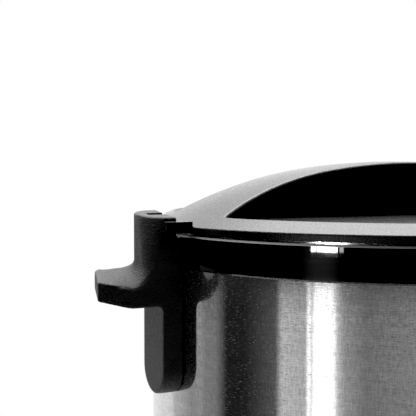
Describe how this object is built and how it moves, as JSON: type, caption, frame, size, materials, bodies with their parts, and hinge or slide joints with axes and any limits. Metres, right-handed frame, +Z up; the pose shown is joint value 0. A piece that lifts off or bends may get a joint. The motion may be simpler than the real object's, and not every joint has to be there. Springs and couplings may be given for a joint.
{
  "type": "electric pressure cooker",
  "caption": "Countertop electric pressure cooker with a steel-clad round body, turning domed lid, lift-out pot, side handles, key panel and drip cup.",
  "frame": {"origin": "on the table, under the axis of the round body, in the middle of the part's box", "axes": "+Z up along the body's axis, -Y out through the control panel, X along the two side handles"},
  "size_m": [0.364, 0.3092, 0.3171],
  "materials": {
    "shell_steel": "stainless steel, brushed round the body",
    "rim_gloss": "polished black moulding",
    "base_plastic": "fine spark-textured black moulding",
    "handle_plastic": "fine spark-textured black moulding",
    "lid_plastic": "satin black moulding",
    "pot_steel": "drawn stainless steel, satin",
    "housing_steel": "plain drawn steel",
    "plate_alloy": "die-cast and turned on top",
    "silicone": "translucent white silicone",
    "screw_steel": "zinc-plated steel",
    "panel_plastic": "satin black moulding",
    "window_clear": "smoked clear window",
    "display_dark": "dark display face",
    "button_plastic": "satin dark grey key",
    "board_green": "solder-resist green",
    "parts_plastic": "moulded component cases",
    "blade_brass": "plated brass",
    "lead_rubber": "silicone-covered leads",
    "foot_rubber": "matte black rubber",
    "cup_clear": "translucent moulded cup"
  },
  "bodies": {
    "body": {"foot_1": "foot_rubber", "foot_2": "foot_rubber", "foot_3": "foot_rubber", "foot_4": "foot_rubber", "base": "base_plastic", "base_screws": "screw_steel", "outer_shell": "shell_steel", "rim_ring": "rim_gloss", "pot_housing": "housing_steel", "heating_plate": "plate_alloy", "heating_element": "housing_steel", "sensor_spring": "housing_steel", "sensor_strap": "housing_steel", "thermal_fuse": "parts_plastic", "pressure_switch": "parts_plastic", "power_board": "board_green", "power_parts": "parts_plastic", "board_screws": "screw_steel", "inlet_socket": "base_plastic", "inlet_blades": "blade_brass", "wiring": "lead_rubber", "handle_left": "handle_plastic", "handle_right": "handle_plastic", "handle_screws": "screw_steel", "panel_housing": "panel_plastic", "display_window": "window_clear", "display_module": "display_dark", "control_board": "board_green", "tact_switches": "parts_plastic", "panel_screws": "screw_steel", "cup_bracket": "base_plastic", "bracket_screw": "screw_steel"},
    "sensor": {"temperature_sensor": "plate_alloy"},
    "pot": {"inner_pot": "pot_steel"},
    "seal": {"sealing_ring": "silicone"},
    "lid": {"lid_cover": "lid_plastic", "lid_screws": "screw_steel", "inner_lid": "pot_steel", "ring_rack": "pot_steel", "vent_stem": "pot_steel", "vent_nut": "screw_steel", "block_shield": "pot_steel"},
    "steam_valve": {"steam_knob": "lid_plastic"},
    "float_valve": {"float_pin": "pot_steel", "float_seal": "silicone"},
    "cup": {"condensate_cup": "cup_clear"},
    "button_1": {"button_1": "button_plastic"},
    "button_2": {"button_2": "button_plastic"},
    "button_3": {"button_3": "button_plastic"},
    "button_4": {"button_4": "button_plastic"},
    "button_5": {"button_5": "button_plastic"},
    "button_6": {"button_6": "button_plastic"},
    "button_7": {"button_7": "button_plastic"},
    "button_8": {"button_8": "button_plastic"}
  },
  "joints": [
    {"name": "pot_lift", "type": "slide", "parent": "body", "child": "pot", "axis": [0, 0, 1], "range_m": [0, 0.2]},
    {"name": "lid_lift", "type": "slide", "parent": "pot", "child": "seal", "axis": [0, 0, 1], "range_m": [0, 0.15]},
    {"name": "lid_turn", "type": "hinge", "parent": "seal", "child": "lid", "pos_m": [0, 0, 0.2806], "axis": [0, 0, 1], "range_deg": [0, 30]},
    {"name": "steam_valve_turn", "type": "hinge", "parent": "lid", "child": "steam_valve", "pos_m": [0, 0.076, 0.2881], "axis": [0, 0, 1], "range_deg": [0, 60]},
    {"name": "float_rise", "type": "slide", "parent": "lid", "child": "float_valve", "axis": [0, 0, 1], "range_m": [0, 0.005]},
    {"name": "sensor_press", "type": "slide", "parent": "body", "child": "sensor", "axis": [0, 0, -1], "range_m": [0, 0.002], "stiffness_N_per_m": 500, "springref_m": -0.005, "deforming": ["sensor_spring"]},
    {"name": "cup_slide", "type": "slide", "parent": "body", "child": "cup", "axis": [0, 1, 0], "range_m": [0, 0.04]},
    {"name": "button_1_press", "type": "slide", "parent": "body", "child": "button_1", "axis": [0.2504, 0.9681, 0], "range_m": [0, 0.001], "stiffness_N_per_m": 800, "springref_m": -0.0005},
    {"name": "button_2_press", "type": "slide", "parent": "body", "child": "button_2", "axis": [-0.2504, 0.9681, 0], "range_m": [0, 0.001], "stiffness_N_per_m": 800, "springref_m": -0.0005},
    {"name": "button_3_press", "type": "slide", "parent": "body", "child": "button_3", "axis": [0.2504, 0.9681, 0], "range_m": [0, 0.001], "stiffness_N_per_m": 800, "springref_m": -0.0005},
    {"name": "button_4_press", "type": "slide", "parent": "body", "child": "button_4", "axis": [-0.2504, 0.9681, 0], "range_m": [0, 0.001], "stiffness_N_per_m": 800, "springref_m": -0.0005},
    {"name": "button_5_press", "type": "slide", "parent": "body", "child": "button_5", "axis": [0.2504, 0.9681, 0], "range_m": [0, 0.001], "stiffness_N_per_m": 800, "springref_m": -0.0005},
    {"name": "button_6_press", "type": "slide", "parent": "body", "child": "button_6", "axis": [-0.2504, 0.9681, 0], "range_m": [0, 0.001], "stiffness_N_per_m": 800, "springref_m": -0.0005},
    {"name": "button_7_press", "type": "slide", "parent": "body", "child": "button_7", "axis": [0.2504, 0.9681, 0], "range_m": [0, 0.001], "stiffness_N_per_m": 800, "springref_m": -0.0005},
    {"name": "button_8_press", "type": "slide", "parent": "body", "child": "button_8", "axis": [-0.2504, 0.9681, 0], "range_m": [0, 0.001], "stiffness_N_per_m": 800, "springref_m": -0.0005}
  ]
}
